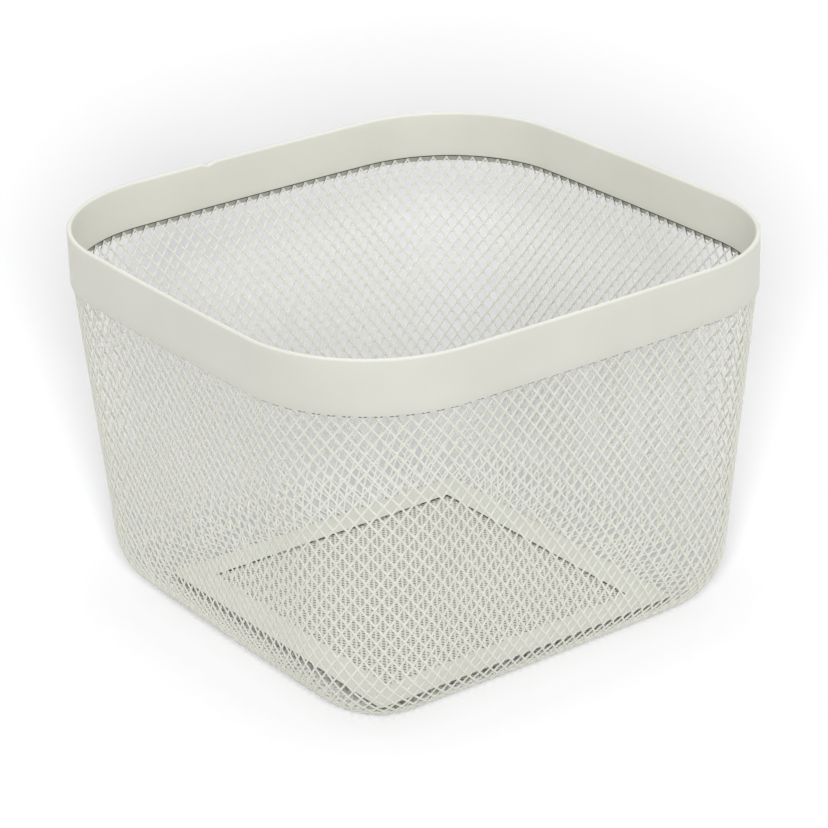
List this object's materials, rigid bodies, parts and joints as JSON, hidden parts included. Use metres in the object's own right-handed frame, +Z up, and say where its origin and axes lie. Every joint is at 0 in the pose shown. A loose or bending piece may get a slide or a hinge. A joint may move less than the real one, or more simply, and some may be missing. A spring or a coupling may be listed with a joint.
{
  "type": "storage basket",
  "caption": "Open-topped storage basket of expanded steel mesh, rounded square in plan and tapered, with a folded rim channel and a flat base frame.",
  "frame": {"origin": "on the ground under the middle of the basket", "axes": "+Z up, +X along the longer side, -Y the front, +Y the back, where the rim's ends meet"},
  "size_m": [0.257, 0.25, 0.181],
  "materials": {
    "powder_coat": "satin pale warm grey powder coat on steel"
  },
  "bodies": {
    "root": {"rim_channel": "powder_coat", "wall_mesh": "powder_coat", "base_mesh": "powder_coat", "base_frame": "powder_coat"}
  },
  "joints": []
}
